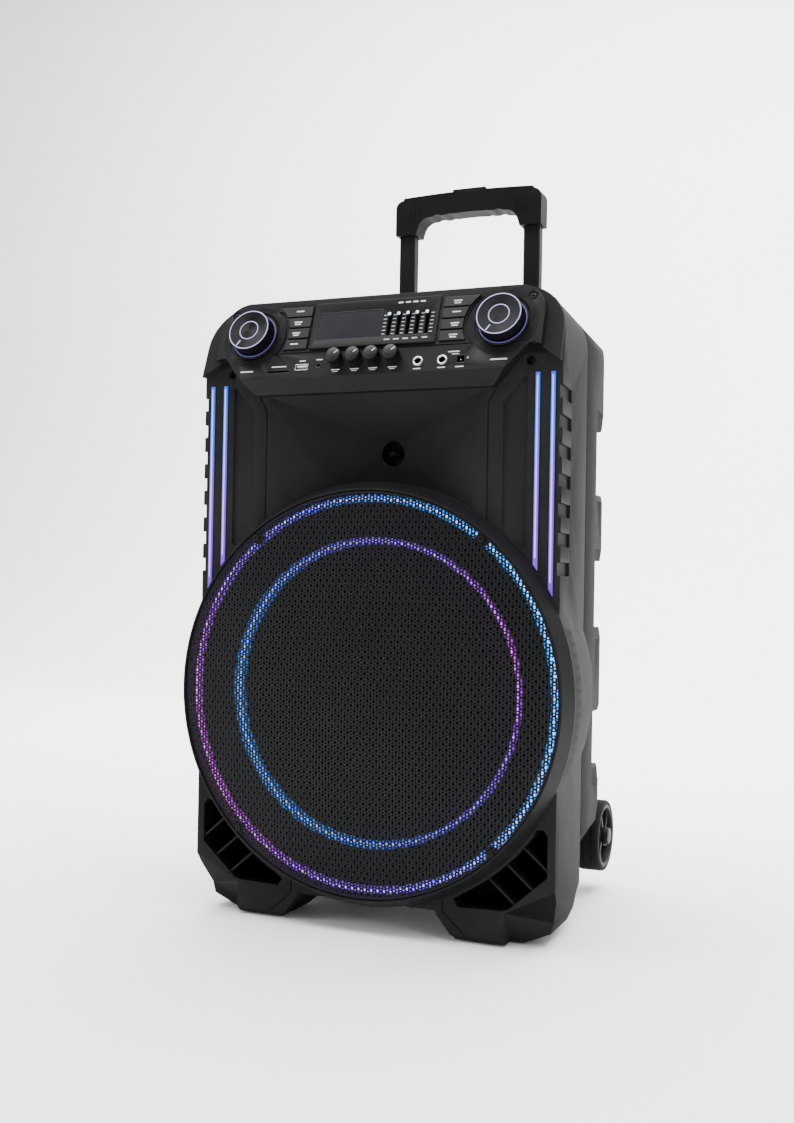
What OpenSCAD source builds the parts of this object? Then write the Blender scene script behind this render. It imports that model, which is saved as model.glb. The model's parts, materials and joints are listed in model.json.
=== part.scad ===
// Trolley party speaker: a tall moulded cabinet with one woofer behind a round lit grille, a horn
// tweeter above it, a tilted control panel across the top edge, a telescopic handle and two wheels.
// Lengths are millimetres. The shapes are laid out from the grille's centre on its front plane:
// x to the right, y to the back, z up. placed() moves that layout so that the floor is z = 0.

/* [Overall] */
// Depth from the crown of the grille to the back of the wheels
overall_depth = 340; // [335:1:350]
// Height of the grille's centre above the floor
grille_z = 238; // [232:1:240]

/* [Cabinet] */
// Half of the cabinet's width at its front plate
half_w = 196; // [192:1:198]
// Sideways taper of each flank, in millimetres per millimetre of depth
taper = 0.075; // [0.06:0.005:0.09]
// Where the front plate lies behind the grille's plane
plate_y = 19; // [17:1:20]
// Where the front and rear shells meet
seam_y = 150; // [140:1:160]
// Back face of the rear shell
rear_y = 322; // [320:1:324]
// Top of the cabinet
top_z = 404; // [400:1:408]
// Underside of the cabinet between the feet
under_z = -209; // [-210:1:-207]
// Radius of the two top corners
corner_r = 46; // [40:1:50]
// Wall thickness of the moulded shells
wall = 4; // [3:0.5:4.5]

/* [Control panel] */
// Backward tilt of the panel's face
panel_tilt = 20.3; // [18:0.1:22]
// Height of the lower edge of the tilted face
panel_z = 318; // [316:1:320]
// Half of the panel's width
panel_half_w = 177; // [175:1:179]
// Height of the two large knobs along the tilted face
big_knob_v = 51; // [49:1:53]
// Distance of the large knobs from the middle
big_knob_x = 136; // [134:1:138]
// Height of the row of small knobs along the tilted face
small_knob_v = 18; // [17:1:19]

/* [Woofer and grille] */
// Outer radius of the grille's rim
grille_r = 203; // [201:1:204]
// Height of the grille's dome
dome = 11; // [8:1:11]
// Radius of the collar at the front plate
collar_r = 213; // [211:1:214]
// Opening of the woofer in the baffle
woofer_hole_r = 176; // [170:1:178]

/* [Horn] */
// Half width of the horn's mouth
horn_half_w = 121; // [115:1:123]
// Height of the horn's throat
throat_z = 246; // [242:1:250]
// Depth of the throat behind the front plate
horn_depth = 53; // [45:1:55]
// Radius of the throat
throat_r = 13; // [11:0.5:14]

/* [Handle] */
// Distance of each handle tube from the middle
tube_x = 79.5; // [76:0.5:82]
// Length of the handle tubes
tube_length = 480; // [440:10:500]
// Height of the grip's lower ends above the grille's centre
grip_z = 537; // [520:1:545]
// Distance of the handle behind the grille's plane
handle_y = 300; // [299:0.5:300]

/* [Wheels] */
// Outer radius of the tyres
tyre_r = 40; // [36:0.5:41]
// Width of the tyres
tyre_w = 28; // [22:1:28]
// Height of the wheel axle above the grille's centre
axle_z = -175; // [-177:1:-173]
// Radius of the axle
axle_r = 5; // [4:0.5:6]

/* [Hidden] */
small_knob_names = [for (i = [1:4]) str("small_knob_", i)];
slider_names = [for (i = [1:5]) str("eq_slider_", i)];
left_button_names = [for (i = [1:4]) str("button_left_", i)];
right_button_names = [for (i = [1:4]) str("button_right_", i)];

$fn = 96;
front_y = dome - 3;                     // the grille's crown stands this far in front of its plane
front_shift = front_y - overall_depth / 2;
panel_y = -2;                           // depth of the panel's lower front edge
panel_len = (top_z - panel_z) / cos(panel_tilt);
panel_t = 4;                            // thickness of the panel's skin
seat_d = 14;                            // depth of the shell's tilted seat behind the panel's face
foot_z = 2 - grille_z;                  // moulded underside of the feet, above the rubber pads
wheel_y = overall_depth - front_y - tyre_r;
wheel_x = 166.5;                          // middle of each wheel
well_x = 145;                           // inner wall of the wheel wells
well_r = 52;
pocket = [97, 283, 318, 369];           // handle pocket: half width, front, back, floor
slider_x = [17, 27, 37, 47, 57.5];
slider_top_v = 67;                      // slots run from slot_low_v up to here
slot_low_v = 42;
small_knob_x = [-35, -14, 6, 27];
jack_x = [53.5, 79];
jack_v = 12;
usb = [-74, 12];
card = [-100, 8];
aux = [-55, 13];
dc = [98, 12];
button_v = [32.4, 45.4, 58.2, 71];      // lower edges of the four button rows
button_h = 11.8;
plate_half_w = 69;                      // raised display plate
plate_v = [31.5, 84.5];
plate_t = 2.5;
window = [-63, 8, 40.5, 72.5];          // display window: left, right, low, high
gap = 0.4;                              // play around moving buttons and sliders
louvre_angle = 41;                      // lean of the fins in the corner vents
bevel_climb = 26.6;                     // slope of the bevel's upper edge on each foot
bar_x = [171.2, 186.6];
bar_w = 4.4;
horn_low_z = 157;                       // the horn's mouth, before the collar covers its lower part
horn_high_z = 303;
notch_pitch = 28.3;
notch_top = 297;
notch_d = 3;
tab_screw = [163.4, 328];               // screws in the front plate below the panel's arches
face_screw = [163, 78];                 // screws in the panel's face
woofer_screw_r = 184;
tab_y = 4.3;                            // front of the tabs behind the grille's rim
guide_top = pocket[3];
body_reach = 300;                       // more than half of any width, depth or height of the cabinet
turn_front = 216;                       // where the rear shell's flanks turn inward
turn_bumper = 258;                      // where the raised blocks on them turn inward
back_half_w = 150;
block_half_w = 160;
rear_under_z = under_z + 12;
bumpers = [[304, 500], [152, 205], [-20, 53], [-220, -107]];
seam_w = 2.4;                           // groove round the cabinet at the seam
seam_d = 1.8;
big_knob_r = 23;
small_knob_r = 8.2;
tube = [20, 16];                        // section of the handle tubes
tube_wall = 1.6;
guide = [24, 20];                       // section of the sleeves that they slide in
guide_gap = 0.3;
axle_disc_r = 9;
fender_back_r = 197;                    // the fender's radius at the seam and at its end
fender_end_r = 178;
fender_end_y = 226;
tail_z = 110;
woofer_seat_y = 38;
throat_wall = 3;
vent_depth_y = 58;

// Points of an arc about centre c, from angle a0 to a1
function arc(c, r, a0, a1, n = 10) =
  [for (i = [0:n]) let (a = a0 + (a1 - a0) * i / n) [c[0] + r * cos(a), c[1] + r * sin(a)]];
// A closed outline from its right half
function mirrored(p) = concat(p, [for (i = [len(p) - 1:-1:0]) [-p[i][0], p[i][1]]]);
// A rectangle of size w by h about the origin with corners of radius r
function rounded(w, h, r) = concat(
  arc([w / 2 - r, h / 2 - r], r, 0, 90, 4), arc([r - w / 2, h / 2 - r], r, 90, 180, 4),
  arc([r - w / 2, r - h / 2], r, 180, 270, 4), arc([w / 2 - r, r - h / 2], r, 270, 360, 4));
// Half width of the flank at depth y
function flank(y) = half_w - taper * (y - plate_y);
// Points of a trapezoid that narrows to half width w at the back face, seen from above
function turned_back(turn_y, w, d = 0) = mirrored([
  let (k = (flank(turn_y) - w) / (rear_y - turn_y)) [flank(turn_y) - d + 100 * k, turn_y - 100],
  [w - d, rear_y - d]]);

module placed() { translate([0, front_shift, grille_z]) children(); }
// An outline in x and z, extruded from depth y0 to y1
module front_prism(y0, y1) { translate([0, y1, 0]) rotate([90, 0, 0]) linear_extrude(y1 - y0) children(); }
// An outline in x and y, extruded from height z0 to z1
module plan_prism(z0, z1) { translate([0, 0, z0]) linear_extrude(z1 - z0) children(); }
// An outline in y and z, extruded from x0 to x1
module side_prism(x0, x1) { translate([x0, 0, 0]) rotate([90, 0, 90]) linear_extrude(x1 - x0) children(); }
// A solid of revolution about the grille's axis: profile in radius and depth
module turned(y = 0) { translate([0, y, 0]) rotate([-90, 0, 0]) rotate_extrude() children(); }
module rod_y(y0, y1, r, x = 0, z = 0) {
  translate([x, y0, z]) rotate([-90, 0, 0]) cylinder(h = y1 - y0, r = r);
}
// The tilted face: x across, z up the face, y into the panel
module on_panel() { translate([0, panel_y, panel_z]) rotate([-panel_tilt, 0, 0]) children(); }
module both_sides() {
  children();
  mirror([1, 0, 0]) children();
}

// Turns a straight prism about the front corner so that its right side follows the right flank
module along_flank() {
  translate([half_w, plate_y, 0]) rotate([0, 0, atan(taper)]) translate([-half_w, -plate_y, 0]) children();
}
// Everything to the left of the right flank
module inside_flank() {
  along_flank() translate([half_w - 2 * body_reach, -body_reach / 2, -body_reach])
    cube([2 * body_reach, 2 * body_reach, 3 * body_reach]);
}
module between_flanks() {
  intersection() {
    inside_flank();
    mirror([1, 0, 0]) inside_flank();
  }
}
// The cabinet's cross-section, drawn in by d: its corners follow the flanks as they narrow
module narrowing(d, low, cut_in, cut_up) {
  outline = concat([[-body_reach, low + d], [half_w - cut_in - d, low + d], [half_w - d, low + cut_up + d]],
    arc([half_w - corner_r, top_z - corner_r], corner_r - d, 0, 90), [[-body_reach, top_z - d]]);
  intersection() {
    along_flank() front_prism(-body_reach / 2, 2 * body_reach) polygon(outline);
    mirror([1, 0, 0]) along_flank() front_prism(-body_reach / 2, 2 * body_reach) polygon(outline);
  }
}
// Everything between depths y0 and y1
module slice(y0, y1) {
  translate([-body_reach, y0, -body_reach]) cube([2 * body_reach, y1 - y0, 3 * body_reach]);
}
module wheel_well(d = 0) {
  both_sides() translate([well_x - d, wheel_y, axle_z]) rotate([0, 90, 0]) cylinder(h = 80, r = well_r + d);
}
module handle_pocket(d = 0) {
  translate([-pocket[0] - d, pocket[1] - d, pocket[3] - d])
    cube([2 * (pocket[0] + d), pocket[2] - pocket[1] + 2 * d, 120]);
}
// Everything behind the seam, drawn in by d
module rear_form(d = 0) {
  difference() {
    intersection() {
      narrowing(d, rear_under_z, 30, 48);
      plan_prism(-body_reach, 2 * body_reach) polygon(turned_back(turn_front, back_half_w, d));
      slice(seam_y - (d > 0 ? 1 : 0), rear_y - d);
    }
    wheel_well(d);
    handle_pocket(d);
  }
}
// Blocks that carry the flank further back at four heights, with bevelled ends
module rear_bumpers() {
  difference() {
    intersection() {
      narrowing(0, rear_under_z, 30, 48);
      plan_prism(-body_reach, 2 * body_reach) polygon(turned_back(turn_bumper, block_half_w));
      slice(turn_front - 16, rear_y);
      both_sides() front_prism(turn_front - 16, rear_y) for (z = bumpers)
        polygon([[140, z[0] - 12], [167, z[0] - 12], [179, z[0]], [220, z[0]],
          [220, z[1]], [179, z[1]], [167, z[1] + 10], [140, z[1] + 10]]);
    }
    rear_form(0);
    wheel_well(0);
    handle_pocket(0);
  }
}
// The rounded side bulge behind the collar: a cone about the grille's axis
module fender() {
  turned() polygon([[0, plate_y], [collar_r, plate_y], [fender_back_r, seam_y],
    [fender_end_r, fender_end_y], [0, fender_end_y]]);
}
foot_outline = [[72, -150], [72, under_z + 2], [95, foot_z], [160, foot_z],
  [186, foot_z + 11], [half_w, -188], [half_w, -150]];
module foot_form() {
  intersection() {
    front_prism(plate_y, seam_y) polygon(foot_outline);
    side_prism(60, 210) polygon([[plate_y, -150], [plate_y, foot_z + 6], [plate_y + 6, foot_z], [88, foot_z],
      [132, -204], [seam_y, -197], [seam_y, -150]]);
    inside_flank();
  }
}
// Solid plastic behind the bevel on each foot
module foot_core() {
  intersection() {
    front_form(wall / 4);
    translate([112, plate_y, -212]) cube([90, 33, 40]);
  }
}
// The bevel that cuts the outer lower corner of each foot: its upper edge climbs outward
module foot_bevel() {
  intersection() {
    translate([148, 0, -203]) rotate([0, -bevel_climb, 0]) side_prism(-100, 150)
      polygon([[0, 0], [plate_y, 0], [42, -28], [42, -150], [0, -150]]);
    translate([146, -10, -300]) cube([120, 100, 200]);
  }
}
vent_points = concat([[188, -166], [188, -127]], [[184, -121], [176, -122]],
  arc([0, 0], 216, -36, -62, 8), [[94, -196], [98, -203], [143, -202], [150, -200]]);
vent_block_points = concat([[191, -168], [191, -118]],
  arc([0, 0], collar_r - 2, -36, -62, 8), [[92, -207], [148, -207]]);
module vent_form(y0, y1) { both_sides() front_prism(y0, y1) polygon(vent_points); }
// The horn's flare, a pyramid that narrows from its mouth to the throat
module horn_form(grow = 0) {
  y0 = plate_y - 1;
  y1 = plate_y + horn_depth;
  t = throat_r + grow;
  intersection() {
    plan_prism(100, 320) polygon(mirrored([[horn_half_w + grow, y0], [t, y1]]));
    side_prism(-200, 200) polygon([[y0, horn_low_z - grow], [y0, horn_high_z + grow],
      [y1, throat_z + t], [y1, throat_z - t]]);
  }
}
// Space in front of the tilted plane that lies back by depth d behind the panel's face
module tilt_cut(d) {
  on_panel() translate([-300, -200 + d, -200]) cube([600, 200, 500]);
}
module front_form(d = 0) {
  intersection() {
    narrowing(d, under_z, 24, 34);
    slice(plate_y + d, seam_y + (d > 0 ? 1 : 0));
  }
}

module front_baffle() {
  color("#2b2b2d") placed() {
    difference() {
      union() {
        difference() {
          union() {
            front_form();
            both_sides() foot_form();
            intersection() {
              fender();
              union() {
                slice(plate_y, seam_y);
                both_sides() fender_tail_space();
              }
            }
          }
          front_form(wall);
        }
        both_sides() foot_core();
        both_sides() rod_y(plate_y, plate_y + 9, 7, tab_screw[0], tab_screw[1]);
        difference() {
          intersection() {
            horn_form(throat_wall);
            slice(plate_y, plate_y + horn_depth);
          }
          rod_y(-10, 200, collar_r - 7);
        }
        turned() polygon([[woofer_hole_r, woofer_seat_y], [collar_r - 8, woofer_seat_y],
          [collar_r - 8, plate_y],
          [collar_r, plate_y], [collar_r, woofer_seat_y + 6], [woofer_hole_r, woofer_seat_y + 6]]);
        both_sides() front_prism(plate_y, 62) polygon(vent_block_points);
      }
      difference() {
        horn_form();
        rod_y(-10, 200, collar_r);
      }
      rod_y(0, woofer_seat_y, collar_r - 8);
      rod_y(30, 50, woofer_hole_r);
      rod_y(plate_y, 120, throat_r, 0, throat_z);
      vent_form(plate_y - 1, vent_depth_y);
      both_sides() foot_bevel();
      tilt_cut(seat_d);
      both_sides() side_recess();
      both_sides() bar_grooves();
      both_sides() flank_notches();
      both_sides() rod_y(plate_y - 1, plate_y + 6, 4.5, tab_screw[0], tab_screw[1]);
      both_sides() rod_y(plate_y, plate_y + 30, 1.8, tab_screw[0], tab_screw[1]);
      both_sides() foot_groove();
      at_woofer_screws() rod_y(37, 46, 2.1, woofer_screw_r);
      translate([-125, plate_y - 1, 310]) cube([250, 8, 40]);
    }
  }
}
// Outside the flank behind the seam, where the fender's tail reaches back over the rear shell
module fender_tail_space() {
  along_flank() translate([half_w, 100, -tail_z]) cube([60, turn_front - 100, 2 * tail_z]);
}
// A thin line down the inner side of each foot's front
module foot_groove() {
  front_prism(plate_y - 1, plate_y + 1.2)
    polygon([[82.3, -193], [83.7, -193], [83.7, -208.5], [107.7, -230.5], [106.7, -231.5], [82.3, -209.5]]);
}
module side_recess() {
  front_prism(plate_y - 1, plate_y + 3)
    polygon([[137, 163], [158, 147], [161, 150], [161, 312], [159, 314], [137, 288]]);
  front_prism(plate_y - 1, plate_y + 1.2)
    polygon([[120.8, 150], [122.2, 150], [122.2, 287.6], [131.5, 304], [130, 305], [120.8, 288.4]]);
}
module bar_grooves(proud = 0) {
  for (x = bar_x)
    difference() {
      translate([x - bar_w / 2, plate_y - (proud > 0 ? proud : 1), 80])
        cube([bar_w, 3 + (proud > 0 ? proud : 1), 236]);
      rod_y(-10, 100, collar_r + 1);
    }
}
module flank_notches() {
  for (i = [0:6])
    translate([half_w - notch_d, plate_y - 1, notch_top - i * notch_pitch - 6.5]) rotate([0, 0, atan(taper)])
      cube([20, 46, 13]);
}

module rear_shell() {
  color("#333335") placed() difference() {
    union() {
      difference() {
        rear_form();
        rear_form(wall);
      }
      rear_bumpers();
      both_sides() rear_foot();
      both_sides() axle_lug();
      both_sides() rear_ribs();
    }
    seam_groove();
    translate([-200, wheel_y, axle_z]) rotate([0, 90, 0]) cylinder(h = 400, r = axle_r + 0.1);
    both_sides() translate([tube_x, handle_y, 200])
      linear_extrude(300) polygon(rounded(guide[0], guide[1], 3));
    for (p = shell_screw_points) {
      rod_y(rear_y - 60, rear_y + 5, 2.4, p[0], p[1]);
      rod_y(rear_y - 2.5, rear_y + 5, 5, p[0], p[1]);
    }
  }
}
shell_screw_points = [for (s = [-1, 1]) for (z = [340, 210, 60, -60, -120]) [s * 132, z]];
// A groove round the outside of the rear shell where it meets the front shell
module seam_groove() {
  difference() {
    slice(seam_y - 1, seam_y + seam_w);
    narrowing(seam_d, rear_under_z, 30, 48);
  }
}
module rear_foot() {
  difference() {
    translate([98, 236, foot_z]) cube([40, 46, 60]);
    rear_form(wall);
  }
}
module axle_lug() {
  difference() {
    translate([well_x - 12, wheel_y, axle_z]) rotate([0, 90, 0]) cylinder(h = 14, r = 14);
    translate([well_x + 0.5, 200, -300]) cube([100, 200, 300]);
  }
}
// Upright ribs on the back face that frame the handle's channel
module rear_ribs() {
  translate([60, rear_y - 1, -150]) cube([8, 5, 470]);
  translate([20, rear_y - 1, -150]) cube([8, 5, 470]);
}

// Lower edge of the panel: level in the middle, with an arch at each end
panel_arch = [[1, 303], [130, 303], [161, 338], [165, 342.5], [170, 343.5]];
module panel_outline() {
  polygon(mirrored(concat(panel_arch, [[panel_half_w, 341]],
    arc([panel_half_w - 30, top_z - 30], 30, 0, 90))));
}
module trim_outline() {
  polygon(mirrored(concat(panel_arch, [[flank(30), 325]],
    arc([flank(30) - corner_r, top_z - corner_r], corner_r, 0, 90))));
}
// Block under the tilted face: its front is the face, its lip leans back below panel_z
module face_block(d, back, lip_z = 303) {
  side_prism(-250, 250) polygon([
    [panel_y + d / cos(panel_tilt), panel_z],
    [panel_y + d / cos(panel_tilt) + (top_z + 4 - panel_z) * tan(panel_tilt), top_z + 4],
    [back, top_z + 4], [back, lip_z], [panel_y + d + 11, lip_z]]);
}
module corner_trims() {
  color("#2d2d2f") placed() difference() {
    intersection() {
      front_prism(0, 60) trim_outline();
      face_block(8, 200);
      between_flanks();
      union() {
        tilt_cut(seat_d);
        slice(-100, plate_y);
      }
    }
    front_prism(-10, 100) panel_outline();
    both_sides() flank_notches();
  }
}
module control_panel() {
  color("#3a3a3c") placed() difference() {
    intersection() {
      front_prism(-10, 60) panel_outline();
      face_block(0, 200);
    }
    intersection() {
      front_prism(-9, 70) panel_cavity_outline();
      face_block(panel_t, 240, 306);
    }
    shell_under_panel();
    on_panel() panel_openings();
  }
}
module panel_cavity_outline() {
  polygon(mirrored([[1, 306], [128.6, 306], [158, 340.5], [163, 346], [panel_half_w - 4, 346],
    [panel_half_w - 4, 376], [panel_half_w - 26, top_z - 4], [1, top_z - 4]]));
}
// The panel and its frame seat on the front shell and on its tilted rim
module shell_under_panel() {
  difference() {
    front_form();
    tilt_cut(seat_d);
  }
}
// Holes through the tilted face, in the face's own axes
module panel_openings() {
  for (s = [-1, 1]) {
    through(s * big_knob_x, big_knob_v, 3.05);
    recess(s * big_knob_x, big_knob_v, 28.5, 1);
    recess(s * face_screw[0], face_screw[1], 4.6, 2);
    through(s * face_screw[0], face_screw[1], 1.8);
    groove_arc(s);
  }
  for (x = small_knob_x) through(x, small_knob_v, 3.05);
  for (x = slider_x) translate([x - 1.8, -5, slot_low_v]) cube([3.6, 20, slider_top_v - slot_low_v]);
  for (i = [0:3]) for (s = [-1, 1]) button_shape(i, s, -5, 20, 0);
  for (x = jack_x) through(x, jack_v, 4.6);
  translate([aux[0], -5, aux[1]]) rotate([-90, 0, 0]) cylinder(h = 20, r = 3.2);
  translate([usb[0] - 7.2, -5, usb[1] - 3.5]) cube([14.4, 20, 7]);
  translate([card[0] - 13.5, -5, card[1] - 2]) cube([27, 20, 4]);
  translate([dc[0] - 4.5, -5, dc[1] - 4.5]) cube([9, 20, 9]);
  translate([-103, -1, 28]) cube([208, 1.8, 1.4]);
}
module through(x, v, r) { translate([x, -5, v]) rotate([-90, 0, 0]) cylinder(h = 20, r = r); }
module recess(x, v, r, depth) { translate([x, -1, v]) rotate([-90, 0, 0]) cylinder(h = 1 + depth, r = r); }
// A curved groove around the inner side of a large knob
module groove_arc(s) {
  intersection() {
    translate([s * big_knob_x, -1, big_knob_v]) rotate([-90, 0, 0]) difference() {
      cylinder(h = 2.5, r = 38.6);
      translate([0, 0, -1]) cylinder(h = 5, r = 36);
    }
    translate([s > 0 ? big_knob_x - 45 : -big_knob_x, -2, big_knob_v - 24]) cube([45, 6, 52]);
  }
}
// One button's plan on the face; its outer edge follows the groove around the large knob
module button_shape(i, s, y0, y1, play) {
  difference() {
    translate([s > 0 ? 72 + play : -110 + play, y0, button_v[i] + play])
      cube([38 - 2 * play, y1 - y0, button_h - 2 * play]);
    translate([s * big_knob_x, y0 - 1, big_knob_v]) rotate([-90, 0, 0])
      cylinder(h = y1 - y0 + 2, r = 40 + play);
  }
}
module button(i, s) {
  color("#333335") placed() on_panel() button_shape(i, s, -1.6, 5, gap);
}
module display_plate() {
  color("#3b3b3d") placed() on_panel() difference() {
    translate([-plate_half_w, -plate_t, plate_v[0]])
      cube([2 * plate_half_w, plate_t, plate_v[1] - plate_v[0]]);
    translate([window[0], -plate_t - 1, window[2]])
      cube([window[1] - window[0], 3, window[3] - window[2]]);
    for (x = slider_x) translate([x - 1.8, -10, slot_low_v]) cube([3.6, 20, slider_top_v - slot_low_v]);
  }
}
module display_window() {
  color("#101014") placed() on_panel()
    translate([window[0], -2.1, window[2]]) cube([window[1] - window[0], 1.6, window[3] - window[2]]);
}
module eq_slider(i) {
  color("#e8eefc") placed() on_panel() {
    translate([slider_x[i] - 1.4, -plate_t - 0.3, slider_top_v - 4.2]) cube([2.8, 9, 4]);
    translate([slider_x[i] - 1.8, -plate_t - 3.2, slider_top_v - 4.4]) cube([3.6, 2.9, 4.2]);
  }
}
// A knob's cap and shaft on the tilted face
module knob(x, v, r, low, high, shaft_r = 3) {
  placed() on_panel() translate([x, 0, v]) {
    translate([0, -high, 0]) rotate([-90, 0, 0]) cylinder(h = high - low, r = r);
    translate([0, -low - 0.01, 0]) rotate([-90, 0, 0]) cylinder(h = 16 + low, r = shaft_r);
  }
}
module mic_knob() { color("#3c3c40") knob(-big_knob_x, big_knob_v, big_knob_r, 2.4, 15); }
module volume_knob() { color("#3c3c40") knob(big_knob_x, big_knob_v, big_knob_r, 2.4, 15); }
module small_knob(i) { color("#444448") knob(small_knob_x[i], small_knob_v, small_knob_r, 0.5, 12.5); }
module knob_light_rings() {
  color("#8f8cf0") placed() on_panel() for (s = [-1, 1])
    translate([s * big_knob_x, -2, big_knob_v]) rotate([-90, 0, 0]) difference() {
      cylinder(h = 3, r = 25.5);
      translate([0, 0, -1]) cylinder(h = 6, r = 3.6);
    }
}

module grille() {
  sag = function (r) -front_y + dome * (r / grille_r) * (r / grille_r);
  rings = [for (r = [0:grille_r / 12:grille_r + 0.01]) r];
  color("#1d1d1f") placed() difference() {
    turned() polygon(concat(
      [for (r = rings) [r, sag(r)]],
      [for (i = [len(rings) - 1:-1:0]) [rings[i], sag(rings[i]) + 1.2]]));
    for (p = grille_screw_points) rod_y(-10, 10, 2, p[0], p[1]);
  }
}
module grille_bezel() {
  color("#262628") placed() difference() {
    union() {
      turned() polygon([[grille_r + 0.3, 0], [grille_r + 2, 0], [collar_r, plate_y - 1], [collar_r, plate_y],
        [collar_r - 8, plate_y], [collar_r - 8, woofer_seat_y], [collar_r - 11, woofer_seat_y],
        [collar_r - 11, 5], [grille_r + 0.3, 5]]);
      for (p = grille_screw_points) rod_y(tab_y, tab_y + 3, 6.5, p[0], p[1]);
    }
    for (p = grille_screw_points) rod_y(0, 20, 1.6, p[0], p[1]);
  }
}
grille_screw_points = [[122, 155], [-122, 155], [137, -145], [-137, -145]];
// Screws through the grille into tabs on the bezel's inner side
module grille_screws() {
  color("#3a3a3c") placed() for (p = grille_screw_points) {
    rod_y(0.1, 1.9, 3.4, p[0], p[1]);
    rod_y(1.9, tab_y + 3, 1.5, p[0], p[1]);
  }
}
module light_ring_outer() {
  color("#5a8cff") placed() turned() polygon([[193, 8], [collar_r - 11, 8], [collar_r - 11, 14], [193, 14]]);
}
module light_ring_inner() {
  color("#7a6cf0") placed() turned() polygon([[152, 24], [160, 24], [160, 32], [152, 32]]);
}
module light_bars() { color("#b9c4ff") placed() both_sides() bar_grooves(1.5); }
module vent_louvres() {
  color("#39393b") placed() both_sides() intersection() {
    front_prism(plate_y, vent_depth_y) polygon(vent_points);
    for (p = [[179.5, -153], [162.5, -170], [143, -184]])
      translate([p[0], 38, p[1]]) rotate([0, louvre_angle, 0]) cube([80, 34, 2.2], center = true);
  }
}

module woofer_basket() {
  color("#1a1a1b") placed() difference() {
    turned() polygon([[152, 32], [192, 32], [192, 38], [woofer_hole_r - 1, 38], [woofer_hole_r - 1, 46],
      [70, 140], [45, 140], [45, 136], [68, 136], [150, 58], [150, 40]]);
    for (a = [0:60:300]) rotate([0, a, 0]) translate([70, 60, -18]) cube([60, 66, 36]);
    at_woofer_screws() rod_y(20, 60, 2.2, woofer_screw_r);
  }
}
module woofer_surround() {
  color("#141415") placed() turned() polygon(concat(
    [[150, 36], [146, 36]], [for (p = arc([134, 36], 11, 0, -180, 12)) [p[0], p[1]]],
    [[122, 38], [125.5, 38]], [for (p = arc([134, 37.5], 8.6, -180, 0, 12)) [p[0], p[1]]], [[150, 38]]));
}
module woofer_cone() {
  color("#202022") placed() turned() polygon([[122, 38.5], [40, 100], [40, 101.5], [124, 39.5], [124, 38.5]]);
}
module woofer_dust_cap() {
  color("#242426") placed() turned() polygon(concat(
    [for (i = [0:8]) let (r = 41 * i / 8) [r, 78 + 20 * r * r / 1681]],
    [for (i = [8:-1:0]) let (r = 39.5 * i / 8) [r, 79.5 + 20 * r * r / 1560]]));
}
module woofer_magnet() {
  color("#4a4a4c") placed() {
    turned() polygon([[0, 140], [45, 140], [45, 148], [0, 148]]);
    turned() polygon([[0, 148], [72, 148], [72, 172], [0, 172]]);
    turned() polygon([[0, 172], [66, 172], [66, 180], [0, 180]]);
  }
}
module at_woofer_screws() { for (a = [22.5:45:360]) rotate([0, a, 0]) children(); }
module woofer_screws() {
  color("#77777a") placed() at_woofer_screws() {
    rod_y(29, 32, 4.2, woofer_screw_r);
    rod_y(32, 52, 2, woofer_screw_r);
  }
}
module tweeter_driver() {
  color("#2c2c30") placed() translate([0, 0, throat_z]) {
    difference() {
      rod_y(plate_y + horn_depth, plate_y + horn_depth + 45, 36);
      rod_y(plate_y + horn_depth, plate_y + horn_depth + 18, throat_r);
    }
    turned() polygon([[0, plate_y + horn_depth - 6], [3, plate_y + horn_depth - 4],
      [5.5, plate_y + horn_depth + 4], [4, plate_y + horn_depth + 18], [0, plate_y + horn_depth + 18]]);
  }
}

// A round socket through the face: outer radius, bore radius and depth
module round_socket(x, v, outer, bore, depth, proud) {
  translate([x, -proud, v]) rotate([-90, 0, 0]) difference() {
    union() {
      cylinder(h = depth + proud, r = outer);
      translate([0, 0, proud + panel_t]) cylinder(h = depth - panel_t, r = outer + 3);
    }
    translate([0, 0, -1]) cylinder(h = depth + proud - 1, r = bore);
  }
}
module jack_sockets() {
  color("#b9b6aa") placed() on_panel() for (x = jack_x) round_socket(x, jack_v, 4.6, 3.2, 28, 1);
}
module aux_socket() { color("#1b1b1c") placed() on_panel() round_socket(aux[0], aux[1], 3.2, 1.8, 14, 0.4); }
module dc_socket() {
  color("#1b1b1c") placed() on_panel() translate([dc[0], 0, dc[1]]) {
    difference() {
      translate([-4.5, 0, -4.5]) cube([9, 13, 9]);
      translate([-3.8, -1, -3.8]) cube([7.6, 11, 7.6]);
    }
    translate([0, 3, 0]) rotate([-90, 0, 0]) cylinder(h = 7, r = 1);
  }
}
module usb_socket() {
  color("#c9c9cc") placed() on_panel() translate([usb[0], 0, usb[1]]) {
    difference() {
      translate([-7.2, 0, -3.5]) cube([14.4, 15, 7]);
      translate([-6.6, -1, -2.9]) cube([13.2, 15, 5.8]);
    }
    translate([-5.5, 6, 0.6]) cube([11, 8, 1.8]);
  }
}
module card_slot() {
  color("#8c7a4a") placed() on_panel() translate([card[0], 0, card[1]]) difference() {
    translate([-13.5, 0, -2]) cube([27, 24, 4]);
    translate([-12.2, -1, -1.2]) cube([24.4, 24, 2.4]);
  }
}
module control_board() {
  color("#1d4a2b") placed() on_panel() translate([-115, 28.5, 4]) cube([230, 1.6, 76]);
}
module amplifier_board() {
  color("#2a5a36") placed() {
    translate([-95, 210, 20]) cube([150, 60, 2]);
    for (i = [0:8]) translate([-90, 214 + i * 6, 22]) cube([60, 2.5, 30]);
    for (i = [0:2]) translate([-10 + i * 20, 230, 22]) cylinder(h = 25, r = 8);
  }
}
module battery_pack() {
  color("#5a5a5e") placed() translate([-75, 190, under_z + 17]) cube([150, 70, 90]);
}

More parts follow.
